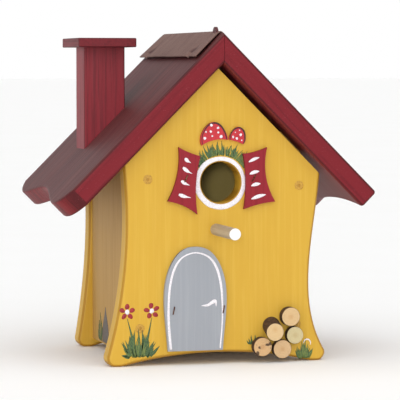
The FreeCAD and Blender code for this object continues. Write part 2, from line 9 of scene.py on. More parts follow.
import bmesh
import bpy
import numpy as np
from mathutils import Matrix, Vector


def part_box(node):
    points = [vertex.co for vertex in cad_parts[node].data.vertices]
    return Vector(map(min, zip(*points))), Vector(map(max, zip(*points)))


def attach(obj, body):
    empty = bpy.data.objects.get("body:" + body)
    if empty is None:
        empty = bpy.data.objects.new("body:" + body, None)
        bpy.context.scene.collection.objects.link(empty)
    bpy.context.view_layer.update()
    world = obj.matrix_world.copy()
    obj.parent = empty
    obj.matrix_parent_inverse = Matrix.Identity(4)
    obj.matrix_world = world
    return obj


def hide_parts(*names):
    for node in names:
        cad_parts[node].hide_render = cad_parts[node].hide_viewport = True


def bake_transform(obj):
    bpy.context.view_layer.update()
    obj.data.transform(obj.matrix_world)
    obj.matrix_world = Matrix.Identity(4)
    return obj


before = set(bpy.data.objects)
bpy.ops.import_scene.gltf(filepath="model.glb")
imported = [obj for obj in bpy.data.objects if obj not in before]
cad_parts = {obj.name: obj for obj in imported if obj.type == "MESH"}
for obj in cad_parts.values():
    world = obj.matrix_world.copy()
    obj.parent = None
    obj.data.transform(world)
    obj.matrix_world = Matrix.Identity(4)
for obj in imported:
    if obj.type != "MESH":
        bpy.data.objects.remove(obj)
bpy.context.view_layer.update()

LOG = logging.getLogger("birdhouse")
MM = 0.001
SLOPE = math.sqrt(0.5)
Triple = tuple[float, float, float]
Board = tuple[Triple, Triple, Triple]
Socket = Any
SOFT = {"interpolation_type": "SMOOTHSTEP"}  # a ramp that eases in and out
ROUGH = 0.6  # how strongly each finer layer of noise shows


def colour(code: str) -> tuple[float, float, float, float]:
    """Turn a screen colour into the linear colour that shaders work in.

    Args:
        code: six hex digits, red first.

    Returns:
        Linear red, green, blue and a full alpha.
    """
    parts = [int(code[i : i + 2], 16) / 255.0 for i in (0, 2, 4)]
    linear = [p / 12.92 if p <= 0.04045 else ((p + 0.055) / 1.055) ** 2.4 for p in parts]
    return linear[0], linear[1], linear[2], 1.0


def add_node(tree: Any, kind: str, *fed: Any, **settings: Any) -> Socket:
    """Add one shader node with its settings and links.

    Args:
        tree: node tree that takes the node.
        kind: Blender's type name of the node, without its prefix.
        fed: number, colour or socket for each input in order; a dict gives inputs by name or number.
        settings: the node's own attributes.

    Returns:
        The first output that is in use, or None if it has none.
    """
    node = tree.nodes.new("ShaderNode" + kind)
    for name, value in settings.items():
        setattr(node, name, value)
    inputs: dict = {}
    for number, given in enumerate(fed):
        inputs.update(given if isinstance(given, dict) else {number: given})
    for key, given in inputs.items():
        if isinstance(given, bpy.types.NodeSocket):
            tree.links.new(given, node.inputs[key])
        else:
            node.inputs[key].default_value = given
    return next((output for output in node.outputs if output.enabled), None)


class Facing(Enum):
    """Directions that a surface can face."""

    FRONT = (0.0, -1.0, 0.0)
    BACK = (0.0, 1.0, 0.0)
    UP = (0.0, 0.0, 1.0)
    ACROSS = (1.0, 0.0, 0.0)
    LEFT_SLOPE_OUT = (-SLOPE, 0.0, SLOPE)
    LEFT_SLOPE_DOWN = (-SLOPE, 0.0, -SLOPE)
    RIGHT_SLOPE_OUT = (SLOPE, 0.0, SLOPE)
    RIGHT_SLOPE_DOWN = (SLOPE, 0.0, -SLOPE)


class Surface:
    """One material under construction. Its coordinates are the piece's own, in millimetres."""

    def __init__(self, title: str) -> None:
        """Start an empty material named title."""
        self.material = bpy.data.materials.new(title)
        self.material.use_nodes = True
        self.tree = self.material.node_tree
        self.tree.nodes.clear()
        self.shader = self.add("BsdfPrincipled").node
        self.add("OutputMaterial", self.shader.outputs[0])
        texture = self.add("TexCoord").node
        self.normal = texture.outputs["Normal"]
        self.place = self.add("VectorMath", texture.outputs["Object"], {"Scale": 1.0 / MM}, operation="SCALE")

    def add(self, kind: str, *fed: Any, **settings: Any) -> Socket:
        """Add one node to this material, as add_node does."""
        return add_node(self.tree, kind, *fed, **settings)

    def facing(self, way: Triple, low: float = 0.6, high: float = 0.9) -> Socket:
        """Return 1 where the surface faces a way, and 0 where it turns from it.

        Args:
            way: the direction faced.
            low: cosine where the mask starts.
            high: cosine where it is full.

        Returns:
            The mask's socket.
        """
        reach = self.add("VectorMath", self.normal, way, operation="DOT_PRODUCT")
        return self.add("MapRange", reach, low, high, **SOFT)

    def grain(self, board: Board, sizes: Triple, detail: float, swirl: float) -> Socket:
        """Return cloudy noise drawn out along a board's own directions.

        Args:
            board: directions along the grain, over it and into the board.
            sizes: millimetres to one cloud in the three directions.
            detail: how many finer layers lie on it.
            swirl: how far it is bent.

        Returns:
            The noise's socket, around one half.
        """
        reach = [self.add("VectorMath", self.place, way, operation="DOT_PRODUCT") for way in board]
        share = [self.add("Math", r, size, operation="DIVIDE") for r, size in zip(reach, sizes)]
        values = {"Scale": 1.0, "Detail": detail, "Roughness": ROUGH, "Distortion": swirl}
        return self.add("TexNoise", {"Vector": self.add("CombineXYZ", *share), **values})

    def speckle(self, scale: float, detail: float, low: float, high: float, swirl: float = 0.0) -> Socket:
        """Return soft-edged spots: noise in all directions alike, cut between two levels.

        Args:
            scale: clouds to a millimetre.
            detail: how many finer layers lie on it.
            low: level where a spot starts.
            high: level where it is full.
            swirl: how far it is bent.

        Returns:
            The mask's socket.
        """
        values = {"Scale": scale, "Detail": detail, "Roughness": ROUGH, "Distortion": swirl}
        noise = self.add("TexNoise", {"Vector": self.place, **values})
        return self.add("MapRange", noise, low, high, **SOFT)

    def coat(self, under: Any, over: Any, mask: Socket, share: float = 1.0) -> Socket:
        """Lay a thin coat over a colour.

        Args:
            under: colour beneath, a tuple or a socket.
            over: the coat, as a hex code or a socket.
            mask: where it lies.
            share: how much of it shows there.

        Returns:
            The colour's socket.
        """
        amount = self.add("Math", mask, share, operation="MULTIPLY")
        top = colour(over) if isinstance(over, str) else over
        return self.add("Mix", {0: amount, 6: under, 7: top}, data_type="RGBA")

    def finish(
        self, base: Socket, rough: Socket, span: tuple[float, float], *relief: Any
    ) -> bpy.types.Material:
        """Connect the shader.

        Args:
            base: colour.
            rough: what roughness follows, from 0 to 1.
            span: roughness where that is 0, and what 1 adds to it.
            relief: height from 0 to 1 and its depth in millimetres, or nothing.

        Returns:
            The material.
        """
        added = self.add("Math", rough, span[1], operation="MULTIPLY")
        roughness = self.add("Math", added, span[0], operation="ADD")
        self.tree.links.new(base, self.shader.inputs["Base Color"])
        self.tree.links.new(roughness, self.shader.inputs["Roughness"])
        if relief:
            height = {"Height": relief[0], "Distance": relief[1] * MM, "Strength": 1.0}
            self.tree.links.new(self.add("Bump", height), self.shader.inputs["Normal"])
        return self.material


@dataclass(frozen=True)
class BrushedPaint:
    """Satin paint brushed on planed softwood: fine grain lines, faint clouds and rubbed, darker arrises."""

    title: str
    paint: str
    grain_line: str
    arris: str
    board: Board = (Facing.UP.value, Facing.ACROSS.value, Facing.BACK.value)
    grain_apart: float = 2.6
    grain_length: float = 90.0
    line_share: float = 0.4
    cloud: str = ""
    cloud_size: Triple = (150.0, 16.0, 16.0)
    cloud_share: float = 0.16
    rubbed_share: float = 0.9
    satin: float = 0.42
    satin_change: float = 0.22
    relief: float = 0.12
    gloss: float = 0.5

    def build(self) -> bpy.types.Material:
        """Make the material."""
        s = Surface(self.title)
        s.shader.inputs["Specular IOR Level"].default_value = self.gloss
        fine = s.grain(self.board, (self.grain_length, self.grain_apart, self.grain_apart), 5.0, 0.35)
        broad = s.grain(self.board, self.cloud_size, 2.0, 0.6)
        lines = s.add("MapRange", fine, 0.46, 0.66, **SOFT)
        clouds = s.add("MapRange", broad, 0.4, 0.75, **SOFT)
        base = s.coat(colour(self.paint), self.grain_line, lines, self.line_share)
        base = s.coat(base, self.cloud or self.grain_line, clouds, self.cloud_share)
        base = self.extra(s, s.coat(base, self.arris, self.rubbed(s), self.rubbed_share))
        fine_part = s.add("Math", fine, 0.7, operation="MULTIPLY")
        broad_part = s.add("Math", broad, 0.3, operation="MULTIPLY")
        height = s.add("Math", fine_part, broad_part, operation="ADD")
        return s.finish(base, fine, (self.satin, self.satin_change), height, self.relief)

    def rubbed(self, s: Surface) -> Socket:
        """Return 1 on rounded arrises, where the surface faces none of the board's own directions."""
        turned = [s.add("VectorMath", s.normal, way, operation="DOT_PRODUCT") for way in self.board]
        reach = [s.add("Math", turn, operation="ABSOLUTE") for turn in turned]
        pair = s.add("Math", reach[0], reach[1], operation="MAXIMUM")
        most = s.add("Math", pair, reach[2], operation="MAXIMUM")
        return s.add("Math", 1.0, s.add("MapRange", most, 0.86, 0.995, **SOFT), operation="SUBTRACT")

    def extra(self, s: Surface, base: Socket) -> Socket:
        """Return the base colour; finishes with more coats add them here."""
        return base


@dataclass(frozen=True)
class RearPanelPaint(BrushedPaint):
    """Panel paint, and between the walls a thin yellow wash over the pale softwood, painted lighter to stand
    in for the light that falls inside.
    """

    # partly painted light: a yellow wash over pale softwood, made lighter for the light that falls in through
    # the entrance
    lit_wash: str = "E8D080"
    lit_wash_thin: str = "D6BC6A"
    half_width: float = 62.0

    def extra(self, s: Surface, base: Socket) -> Socket:
        """Return the colour with the lighter wash between the walls, which is partly painted light."""
        across = s.add("VectorMath", s.place, Facing.ACROSS.value, operation="DOT_PRODUCT")
        aside = s.add("Math", across, operation="ABSOLUTE")
        outside = s.add("MapRange", aside, self.half_width - 1.0, self.half_width + 1.0, **SOFT)
        inside = s.add("Math", 1.0, outside, operation="SUBTRACT")
        clouds = s.add("TexNoise", {"Vector": s.place, "Scale": 0.06, "Detail": 4.0, "Roughness": ROUGH})
        lit_washed = s.coat(colour(self.lit_wash), self.lit_wash_thin, clouds)
        front = s.facing(Facing.FRONT.value)
        # the lighter wash, partly painted light, lies on the inner face between the walls
        return s.coat(base, lit_washed, s.add("Math", inside, front, operation="MULTIPLY"))


@dataclass(frozen=True)
class RoofPaint(BrushedPaint):
    """Wine red paint on a thick board: a painted grey-brown sheen on top, speckled in front with flecks that
    are partly painted sheen, dark at the eave, and an underside lightened as painted bounce light.
    """

    out: Triple = Facing.LEFT_SLOPE_OUT.value
    down: Triple = Facing.LEFT_SLOPE_DOWN.value
    # painted sheen: colours for the faces that look up and out, standing in for the bright surroundings that
    # they reflect
    painted_sheen: str = "643634"
    painted_sheen_streak: str = "421C21"
    long_streak: str = "5E2026"
    end_grain: str = "7D1E23"
    end_ray: str = "4E1216"
    # painted bounce light: the underside is lightened for the light that the panels throw up onto it
    painted_bounce_underside: str = "74282B"
    # pink flecks: partly speckle in the paint, partly painted sheen
    fleck_and_sheen: str = "B0606A"

    def extra(self, s: Surface, base: Socket) -> Socket:
        """Return the colour with the coats of the board's other faces."""
        back = Facing.BACK.value
        fine = s.grain((self.down, back, self.out), (85.0, 2.2, 9.0), 5.0, 0.3)
        long = s.grain((self.down, back, self.out), (220.0, 7.0, 9.0), 3.0, 0.8)
        rays = s.grain((self.out, back, self.down), (26.0, 1.6, 2.4), 4.0, 0.7)
        streaks = s.add("MapRange", fine, 0.42, 0.64, **SOFT)
        # painted sheen: a grey-brown coat for the top faces, with streaks along the grain
        top = s.coat(colour(self.painted_sheen), self.painted_sheen_streak, streaks)
        top = s.coat(top, self.long_streak, s.add("MapRange", long, 0.5, 0.7, **SOFT), 0.7)
        # pink flecks in front: partly speckle in the paint, partly painted sheen
        base = s.coat(base, self.fleck_and_sheen, s.speckle(0.9, 3.0, 0.6, 0.72), 0.2)
        ends = s.coat(colour(self.end_grain), self.end_ray, s.add("MapRange", rays, 0.42, 0.68, **SOFT))
        # the painted sheen is laid on the faces that look up and out
        base = s.coat(base, top, s.facing(self.out))
        base = s.coat(base, ends, s.facing(self.down))
        # painted bounce light: the faces that look down get the lightened underside colour
        return s.coat(base, self.painted_bounce_underside, s.facing(tuple(-part for part in self.out)))


@dataclass(frozen=True)
class PaintedDowel(BrushedPaint):
    """A dowel dipped in white paint: clean on its end, and rubbed to a greyish tan along its side."""

    end_white: str = "F2F0EE"
    end_shade: str = "E6E1DC"

    def extra(self, s: Surface, base: Socket) -> Socket:
        """Return the colour with the white end."""
        clouds = s.add("TexNoise", {"Vector": s.place, "Scale": 0.8, "Detail": 4.0, "Roughness": ROUGH})
        end = s.coat(colour(self.end_white), self.end_shade, clouds)
        return s.coat(base, end, s.facing(Facing.FRONT.value, 0.5, 0.8))


@dataclass(frozen=True)
class SawnBranch:
    """A branch sawn square and left bare: rings and specks round its heart, rough dark bark outside."""

    title: str
    heart: tuple[float, float]
    cut: str = "DDB98A"
    ring: str = "B98650"
    core: str = "C98A4C"
    knots: bool = False
    speck: str = "8A5B34"
    knot: str = "3A2417"
    bark: tuple[str, str] = ("2A1A12", "5B3F2B")
    ring_rate: float = 5.2

    def build(self) -> bpy.types.Material:
        """Make the material."""
        s = Surface(self.title)
        flat = s.add("VectorMath", s.place, (self.heart[0], 0.0, self.heart[1]), operation="SUBTRACT")
        flat = s.add("VectorMath", flat, (1.0, 0.0, 1.0), operation="MULTIPLY")
        far = s.add("VectorMath", flat, operation="LENGTH")
        wander = s.add("TexNoise", {"Vector": s.place, "Scale": 0.18, "Detail": 2.0, "Roughness": ROUGH})
        radius = s.add("Math", far, s.add("Math", wander, 2.6, operation="MULTIPLY"), operation="ADD")
        wave = s.add("Math", s.add("Math", radius, self.ring_rate, operation="MULTIPLY"), operation="SINE")
        cut = s.coat(colour(self.cut), self.ring, s.add("MapRange", wave, -0.2, 1.0, **SOFT), 0.5)
        away = s.add("MapRange", far, 0.4, 3.6, **SOFT)
        cut = s.coat(cut, self.core, s.add("Math", 1.0, away, operation="SUBTRACT"), 0.45)
        cut = s.coat(cut, self.speck, s.speckle(1.3, 2.0, 0.62, 0.74), 0.6)
        if self.knots:
            cut = s.coat(cut, self.knot, s.speckle(0.22, 1.0, 0.56, 0.64), 0.9)
        values = {"Scale": 0.7, "Detail": 6.0, "Roughness": ROUGH, "Distortion": 0.5}
        rough = s.add("TexNoise", {"Vector": s.place, **values})
        bark = s.coat(colour(self.bark[0]), self.bark[1], s.add("MapRange", rough, 0.42, 0.6, **SOFT))
        front = s.facing(Facing.FRONT.value, 0.72, 0.82)
        side = s.add("Math", 1.0, front, operation="SUBTRACT")
        height = s.add("Math", rough, side, operation="MULTIPLY")
        return s.finish(s.coat(bark, cut, front), rough, (0.6, 0.2), height, 1.0)


@dataclass(frozen=True)
class SoftSheet:
    """Roofing felt painted over: mauve-brown and dusty, with fine grit, and painted shade in the folds where
    it is stapled.
    """

    title: str = "painted_roofing_felt"
    sheet: str = "76584F"
    dust: str = "8C6E66"
    worn: str = "5A3A38"
    # painted shade: the dark colour for the folds and grooves under the staples
    fold_shade: str = "3C1417"

    def build(self) -> bpy.types.Material:
        """Make the material."""
        s = Surface(self.title)
        grit = s.add("TexNoise", {"Vector": s.place, "Scale": 1.6, "Detail": 3.0, "Roughness": ROUGH})
        clouds = s.grain(((1, 0, 0), (0, 1, 0), (0, 0, 1)), (30.0, 14.0, 30.0), 3.0, 0.7)
        base = s.coat(colour(self.sheet), self.worn, s.add("MapRange", clouds, 0.35, 0.7, **SOFT), 0.35)
        base = s.coat(base, self.dust, s.add("MapRange", grit, 0.5, 0.72, **SOFT), 0.6)
        # painted shade: a stored share on the points darkens the folds and grooves under the staples
        crease_shade = s.add("Attribute", attribute_name="crease_shade").node.outputs["Fac"]
        base = s.coat(base, self.fold_shade, crease_shade, 0.85)
        return s.finish(base, clouds, (0.6, 0.25), grit, 0.25)


@dataclass(frozen=True)
class BrushStroke:
    """Thick hobby paint laid with a small brush: streaky, with a raised and slightly shiny film."""

    title: str
    paint: str
    streak: str
    satin: float = 0.4

    def build(self) -> bpy.types.Material:
        """Make the material."""
        s = Surface(self.title)
        values = {"Scale": 1.1, "Detail": 3.0, "Roughness": ROUGH, "Distortion": 0.6}
        hairs = s.add("TexNoise", {"Vector": s.place, **values})
        base = s.coat(colour(self.paint), self.streak, s.add("MapRange", hairs, 0.42, 0.66, **SOFT))
        return s.finish(base, hairs, (self.satin, 0.2), hairs, 0.1)


@dataclass(frozen=True)
class DrawnSteel:
    """Steel wire and nail heads: fine drawing marks, with rust in clouds where it has started."""

    title: str
    steel: str
    rust: str
    rust_from: float = 0.6

    def build(self) -> bpy.types.Material:
        """Make the material."""
        s = Surface(self.title)
        s.shader.inputs["Metallic"].default_value = 0.8
        marks = s.add("TexNoise", {"Vector": s.place, "Scale": 3.0, "Detail": 2.0, "Roughness": ROUGH})
        spread = s.speckle(0.6, 4.0, self.rust_from - 0.08, self.rust_from + 0.08)
        base = s.coat(colour(self.steel), self.rust, spread)
        return s.finish(base, spread, (0.35, 0.35), marks, 0.05)


@dataclass(frozen=True)
class PaleGround:
    """A matt studio floor: near white, with a trace of cloudiness."""

    title: str = "studio_floor"

    def build(self) -> bpy.types.Material:
        """Make the material."""
        s = Surface(self.title)
        clouds = s.add("TexNoise", {"Vector": s.place, "Scale": 0.004, "Detail": 2.0, "Roughness": ROUGH})
        return s.finish(s.coat(colour("FFFFFF"), "FBFBFA", clouds), clouds, (0.8, 0.1))
@dataclass(frozen=True)
class Sheet:
    """A flat surface that decoration is painted on, with directions as someone facing it sees them."""

    origin: Triple
    right: Triple
    up: Triple
    out: Triple

    def place(self, flat: np.ndarray, proud: np.ndarray) -> np.ndarray:
        """Turn places on the surface into points.

        Args:
            flat: right and up distances in millimetres, one row each.
            proud: height over the surface in millimetres, one for each row.

        Returns:
            Points in metres, one row each.
        """
        right, up, out = (np.array(v) for v in (self.right, self.up, self.out))
        points = np.array(self.origin) + flat[:, :1] * right + flat[:, 1:] * up + proud[:, None] * out
        return points * MM


def front_sheet(depth: float) -> Sheet:
    """Return the sheet that faces the front at Y = depth."""
    return Sheet((0.0, depth, 0.0), (1.0, 0.0, 0.0), (0.0, 0.0, 1.0), (0.0, -1.0, 0.0))


def smooth_line(points: np.ndarray, count: int, closed: bool = False) -> np.ndarray:
    """Draw a smooth line through points.

    Args:
        points: rows that it passes through.
        count: number of rows wanted.
        closed: whether it comes back to its start.

    Returns:
        Evenly stepped rows on a Catmull-Rom curve.
    """
    if closed:
        held = np.vstack([points[-1:], points, points[:2]])
    else:
        held = np.vstack([2 * points[:1] - points[1:2], points, 2 * points[-1:] - points[-2:-1]])
    spans = len(held) - 3
    step = np.linspace(0.0, spans, count, endpoint=not closed)
    span = np.minimum(step.astype(int), spans - 1)
    t = (step - span)[:, None]
    a, b, c, d = (held[span + k] for k in range(4))
    return 0.5 * (2 * b + (c - a) * t + (2 * a - 5 * b + 4 * c - d) * t**2 + (3 * b - a - 3 * c + d) * t**3)


class PaintFilm:
    """Strokes and dabs of one paint, gathered into one thin closed mesh."""

    SECTION = np.array(
        [(-1.0, 0.0), (-0.82, 0.75), (-0.3, 1.0), (0.3, 1.0), (0.82, 0.75), (1.0, 0.0), (0.0, -0.3)]
    )

    def __init__(self, title: str, sheet: Sheet, thick: float = 0.22) -> None:
        """Start an empty film on a sheet, thick millimetres proud of it."""
        self.title, self.sheet, self.thick = title, sheet, thick
        self.points: list[np.ndarray] = []
        self.faces: list[tuple[int, ...]] = []
        self.count = 0

    def stroke(self, line: Any, widths: Any, steps: int = 14, closed: bool = False) -> None:
        """Pull a brush along a line.

        Args:
            line: rows of right and up distances that it passes through.
            widths: full width at even steps along it.
            steps: number of cross-sections.
            closed: whether it comes back to its start.
        """
        centre = smooth_line(np.array(line, float), steps, closed)
        share = np.linspace(0.0, 1.0, steps)
        width = np.interp(share, np.linspace(0.0, 1.0, len(widths)), np.array(widths, float))
        ahead = np.roll(centre, -1, 0) - np.roll(centre, 1, 0) if closed else np.gradient(centre, axis=0)
        ahead /= np.maximum(np.linalg.norm(ahead, axis=1, keepdims=True), 1e-9)
        side = np.stack([-ahead[:, 1], ahead[:, 0]], 1)
        section = self.SECTION
        flat = centre[:, None] + side[:, None] * (section[None, :, :1] * width[:, None, None] / 2)
        proud = np.broadcast_to(section[None, :, 1] * self.thick, flat.shape[:2])
        self.add_tube(flat.reshape(-1, 2), proud.reshape(-1), steps, len(section), closed)

    def add_tube(self, flat: np.ndarray, proud: np.ndarray, steps: int, sides: int, closed: bool) -> None:
        """Add a closed tube of steps cross-sections with the same number of sides."""
        index = np.arange(steps * sides).reshape(steps, sides) + self.count
        ahead = np.roll(index, -1, 0)
        if not closed:
            index, ahead = index[:-1], ahead[:-1]
        quads = np.stack([index, np.roll(index, -1, 1), np.roll(ahead, -1, 1), ahead], -1).reshape(-1, 4)
        self.faces += [tuple(q) for q in quads.tolist()]
        if not closed:
            last = np.arange(sides) + self.count + (steps - 1) * sides
            self.faces += [tuple((np.arange(sides) + self.count)[::-1].tolist()), tuple(last.tolist())]
        self.points.append(self.sheet.place(flat, proud))
        self.count += len(flat)

    def dab(
        self, centre: tuple[float, float], radius: float, seed: int, squash: float = 1.0, turn: float = 0.0
    ) -> None:
        """Press the brush down once, for a slightly uneven round dot.

        Args:
            centre: right and up distances of its middle.
            radius: its mean radius in millimetres.
            seed: picks its unevenness.
            squash: width over length.
            turn: direction of its length in degrees.
        """
        chance = np.random.default_rng(seed)
        around = np.linspace(0, 2 * math.pi, 18, endpoint=False)
        early, late = chance.uniform(0, 6), chance.uniform(0, 6)
        wobble = 1 + 0.07 * np.sin(2 * around + early) + 0.05 * np.sin(3 * around + late)
        rings = np.array([(0.35, -0.3), (1.0, 0.0), (0.88, 0.7), (0.45, 1.0), (0.08, 1.05)])
        reach = rings[:, :1] * (wobble * radius)[None]
        x, z = reach * np.cos(around), reach * np.sin(around) * squash
        c, w = math.cos(math.radians(turn)), math.sin(math.radians(turn))
        flat = np.stack([centre[0] + x * c - z * w, centre[1] + x * w + z * c], -1)
        proud = np.broadcast_to(rings[:, 1:] * self.thick * 1.4, x.shape)
        self.add_tube(flat.reshape(-1, 2), proud.reshape(-1), len(rings), len(around), False)

    def make(self, finish: Any, body: str = "house") -> bpy.types.Object:
        """Build the mesh, dress it and fix it to a body.

        Args:
            finish: finish with a build method.
            body: CAD body that it rides on.

        Returns:
            The new piece.
        """
        piece = closed_mesh(self.title, np.vstack(self.points), self.faces, finish.build())
        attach(piece, body)
        LOG.info("painted %s: %d vertices", self.title, self.count)
        return piece


def closed_mesh(
    title: str, points: np.ndarray, faces: list, material: bpy.types.Material
) -> bpy.types.Object:
    """Make a smooth mesh object with its normals outward.

    Args:
        title: name of the piece.
        points: vertices in metres.
        faces: vertex numbers of each face.
        material: its finish.

    Returns:
        The new object, linked to the scene.
    """
    mesh = bpy.data.meshes.new(title)
    mesh.from_pydata(points.tolist(), [], faces)
    work = bmesh.new()
    work.from_mesh(mesh)
    bmesh.ops.recalc_face_normals(work, faces=work.faces)
    work.to_mesh(mesh)
    work.free()
    mesh.polygons.foreach_set("use_smooth", np.ones(len(mesh.polygons), bool))
    mesh.materials.append(material)
    piece = bpy.data.objects.new(title, mesh)
    bpy.context.scene.collection.objects.link(piece)
    return piece


def dress(node: str, material: bpy.types.Material) -> None:
    """Give a carried-over CAD piece its finish."""
    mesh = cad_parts[node].data
    mesh.materials.clear()
    mesh.materials.append(material)
    LOG.info("dressed %s with %s", node, material.name)


@dataclass
class Boards:
    """The wooden shell: two gabled panels, two walls and a floor, with their screws and nails."""

    panel: BrushedPaint = BrushedPaint(
        "yellow_panel_paint", "CFA333", "DBB44C", "A8791E", cloud="C39228", line_share=0.32, gloss=0.35
    )
    rear: RearPanelPaint = RearPanelPaint(
        "yellow_rear_paint", "CDA133", "D8B04C", "A6771F", cloud="BF8E28", line_share=0.32, gloss=0.35
    )
    # painted shade: this paint is darker than the panel paint, for the shade that the side walls lie in under
    # the eaves
    wall: BrushedPaint = BrushedPaint(
        "shaded_yellow_wall_paint", "B48C48", "9C763A", "8A682E", cloud="9A7640", satin=0.5, gloss=0.35
    )
    bare: BrushedPaint = BrushedPaint(
        "bare_softwood", "C9A878", "A9824E", "8F6C42",
        (Facing.UP.value, Facing.BACK.value, Facing.BACK.value), satin=0.6,
    )
    screw: BrushStroke = BrushStroke("paint_over_screws", "C99A34", "A87C28", 0.35)
    hidden: BrushStroke = BrushStroke("paint_over_nails", "4E2628", "3A1A1C", 0.5)
    nail: DrawnSteel = DrawnSteel("bright_nail_steel", "A5A5A8", "6E5A44", 0.7)

    def build(self) -> None:
        """Dress every piece of the shell."""
        dress("front_panel", self.panel.build())
        dress("rear_panel", self.rear.build())
        wall = self.wall.build()
        dress("left_wall", wall)
        dress("right_wall", wall)
        dress("floor_board", self.bare.build())
        screw = self.screw.build()
        dress("front_screws", screw)
        dress("rear_screws", screw)
        nail = self.nail.build()
        dress("floor_nails", nail)
        dress("roof_nails", self.hidden.build())


@dataclass
class RidgeStrip:
    """The soft sheet that joins the two roof boards and pulls in where it is stapled."""

    ridge: tuple[float, float] = (-1.723, 281.15)
    left: float = 32.1
    right: float = 32.9
    front: float = -65.5
    skew: float = 8.0
    rear: float = 126.0
    thick: float = 1.0
    staples: tuple[float, float] = (-46.4, 103.0)
    bend: float = 1.0
    finish: SoftSheet = SoftSheet()

    def build(self) -> None:
        """Make the sheet, bent over the ridge, and hide the two strips that it replaces."""
        over_ridge = np.linspace(-3.4, 3.4, 13)
        across = np.concatenate([np.linspace(-self.left, -4, 29), over_ridge, np.linspace(4, self.right, 29)])
        along = np.linspace(0.0, 1.0, 200)
        u, v = np.meshgrid(across, along)
        front = self.front + u * SLOPE * self.skew / (self.left * SLOPE)
        y = front + v * (self.rear - 0.2 - front)
        lift = self.lift(u, y)
        under, over = self.sheet(u, y, lift), self.sheet(u, y, lift + self.thick)
        ring = np.concatenate([over, under[:, ::-1]], 1)
        steps, sides = ring.shape[:2]
        index = np.arange(steps * sides).reshape(steps, sides)
        quads = np.stack(
            [index[:-1], np.roll(index, -1, 1)[:-1], np.roll(index, -1, 1)[1:], index[1:]], -1
        ).reshape(-1, 4)
        half = sides // 2
        caps = []
        for row in (index[0], index[-1]):
            top, low = row[:half], row[half:][::-1]
            caps.append(np.stack([top[:-1], top[1:], low[1:], low[:-1]], -1))
        faces = [tuple(q) for q in np.concatenate([quads, *caps]).tolist()]
        piece = closed_mesh("ridge_strip", ring.reshape(-1, 3) * MM, faces, self.finish.build())
        # painted shade for the folds and grooves, stored on the points
        crease_shade = self.crease_shade(u, y)
        shade = np.concatenate([crease_shade, crease_shade[:, ::-1]], 1).astype(np.float32).reshape(-1)
        piece.data.attributes.new("crease_shade", "FLOAT", "POINT").data.foreach_set("value", shade)
        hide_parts("strip_left", "strip_right")
        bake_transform(piece)
        LOG.info("bent the ridge strip: %d vertices", steps * sides)

    def crease_shade(self, u: np.ndarray, y: np.ndarray) -> np.ndarray:
        """Return the share of painted shade: 1 in the three-cornered folds under the staples, and less in the
        grooves up to the ridge.
        """
        reach = np.abs(u) / self.left
        fold_shade = np.clip((reach - 0.52) / 0.2, 0, 1) * np.clip((0.84 - reach) / 0.03, 0, 1)
        wide = 0.8 + 32.0 * np.clip(reach - 0.55, 0, 0.3)
        across = sum(np.exp(-(((y - at) / wide) ** 2)) for at in self.staples)
        groove = sum(np.exp(-(((y - at) / 2.2) ** 2)) for at in self.staples)
        groove = groove * np.clip(reach * 2, 0, 1) * 0.25
        return np.clip(across * fold_shade + groove, 0, 1)

    def lift(self, u: np.ndarray, y: np.ndarray) -> np.ndarray:
        """Return how far the sheet stands off: more near its edges, nothing where a staple pulls it in."""
        reach = np.abs(u) / self.left
        pull = sum(np.exp(-(((y - at) / (2.8 + 6.0 * (1.15 - reach))) ** 2)) for at in self.staples)
        wave = 0.12 * np.sin(y / 17.0 + 2.0 * u / self.left) * reach
        loose = 0.2 + 1.5 * np.clip(reach, 0, 1) ** 1.3 + wave
        return 0.1 + loose * (1 - np.clip(pull, 0, 1) * np.clip(reach * 2.2, 0, 1))

    def sheet(self, u: np.ndarray, y: np.ndarray, lift: np.ndarray) -> np.ndarray:
        """Return points of the sheet, which turns over the ridge in a small round bend."""
        x = u * SLOPE
        turn = np.sqrt(x**2 + self.bend**2)
        far = lift / np.hypot(x / turn, 1.0)
        z = self.ridge[1] + 0.35 - (turn - self.bend) + far
        return np.stack([self.ridge[0] + x + far * x / turn, y, z], -1)


@dataclass
class Roof:
    """Two thick boards that meet in a mitre, with the strip, its staples, the tab and the chimney."""

    strip: RidgeStrip = field(default_factory=RidgeStrip)
    staple: DrawnSteel = DrawnSteel("galvanised_staple_wire", "8F8D8C", "6B4C38", 0.62)
    tab: BrushStroke = BrushStroke("paint_over_tab", "5C171C", "2C0C0F", 0.45)

    def build(self) -> None:
        """Dress the roof and lay its strip."""
        for side, out, down in (
            ("left", Facing.LEFT_SLOPE_OUT.value, Facing.LEFT_SLOPE_DOWN.value),
            ("right", Facing.RIGHT_SLOPE_OUT.value, Facing.RIGHT_SLOPE_DOWN.value),
        ):
            paint = RoofPaint(
                "wine_red_roof_" + side, "771822", "5C101A", "4C1216", (down, out, Facing.BACK.value),
                grain_apart=2.4, grain_length=60.0, line_share=0.5, cloud="84202B",
                satin=0.38, relief=0.2, gloss=0.22, out=out, down=down,
            )
            dress("roof_" + side, paint.build())
            dress("strip_" + side, self.strip.finish.build())
            dress("strip_" + side + "_staples", self.staple.build())
        dress("ridge_tab", self.tab.build())
        shaft = BrushedPaint(
            "wine_red_chimney", "861C28", "5E121C", "5A191E",
            cloud="9A3440", line_share=0.7, relief=0.25, gloss=0.4,
        )
        dress("chimney_shaft", shaft.build())
        cap = BrushedPaint(
            "wine_red_chimney_cap", "701620", "50101A", "4C1418",
            (Facing.BACK.value, Facing.ACROSS.value, Facing.UP.value),
            2.2, 70.0, 0.6, "80303A", gloss=0.3,
        )
        dress("chimney_cap", cap.build())
        dress("chimney_screw", self.staple.build())
        dress("cap_nails", self.tab.build())
        self.strip.build()


